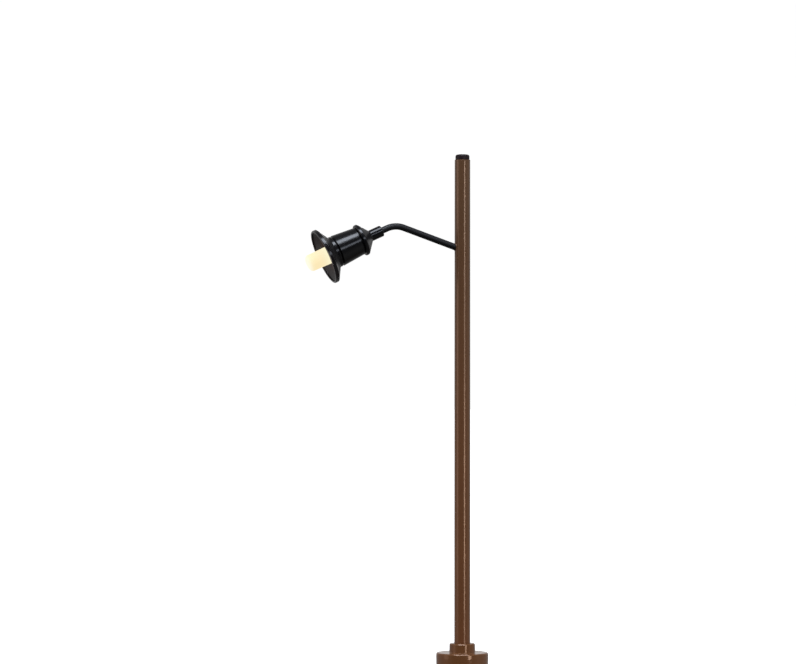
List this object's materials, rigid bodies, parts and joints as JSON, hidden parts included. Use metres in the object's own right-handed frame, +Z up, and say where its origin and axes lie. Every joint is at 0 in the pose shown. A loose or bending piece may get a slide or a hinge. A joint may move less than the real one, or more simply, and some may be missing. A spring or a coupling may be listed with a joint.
{
  "type": "model railway mast lamp",
  "caption": "Model railway yard lamp: a slim brown mast on a round plug-in foot, with a bent black arm that carries a small tilted lamp with a conical shade and a lit diffuser.",
  "frame": {"origin": "mast axis at the layout board's upper surface, where the socket's flange and the foot's skirt seat", "axes": "+Z up the mast; the arm and lamp point to -X; Y is across the arm"},
  "size_m": [0.0363, 0.011, 0.1173],
  "materials": {
    "mast_paint": "satin brown paint on brass tube",
    "foot_plastic": "satin moulded brown plastic",
    "black_paint": "semi-gloss black paint",
    "black_plastic": "semi-gloss black",
    "lit_diffuser": "milky, lit warm white",
    "white_board": "white solder mask",
    "green_board": "green solder mask",
    "led_epoxy": "yellow phosphor resin",
    "wire_enamel": "enamelled copper",
    "chip_ceramic": "black glazed ceramic",
    "chip_epoxy": "moulded black epoxy",
    "contact_brass": "bright turned brass",
    "black_insulator": "fine matt moulded black"
  },
  "bodies": {
    "socket": {"socket_body": "black_insulator", "contact_sleeve_left": "contact_brass", "contact_sleeve_right": "contact_brass"},
    "lamp": {"mast_tube": "mast_paint", "mast_cap": "black_plastic", "foot_housing": "foot_plastic", "bracket_arm": "black_paint", "lamp_rear_cap": "black_plastic", "lamp_barrel": "black_plastic", "lamp_shade": "black_plastic", "light_diffuser": "lit_diffuser", "led_board": "white_board", "led_chip": "led_epoxy", "feed_wire_front": "wire_enamel", "feed_wire_back": "wire_enamel", "pin_carrier": "black_insulator", "foot_board": "green_board", "series_resistor": "chip_ceramic", "rectifier_diode": "chip_epoxy", "contact_pin_left": "contact_brass", "contact_pin_right": "contact_brass"}
  },
  "joints": [
    {"name": "lamp_unplug", "type": "slide", "parent": "socket", "child": "lamp", "axis": [0, 0, 1], "range_m": [0, 0.008]}
  ]
}
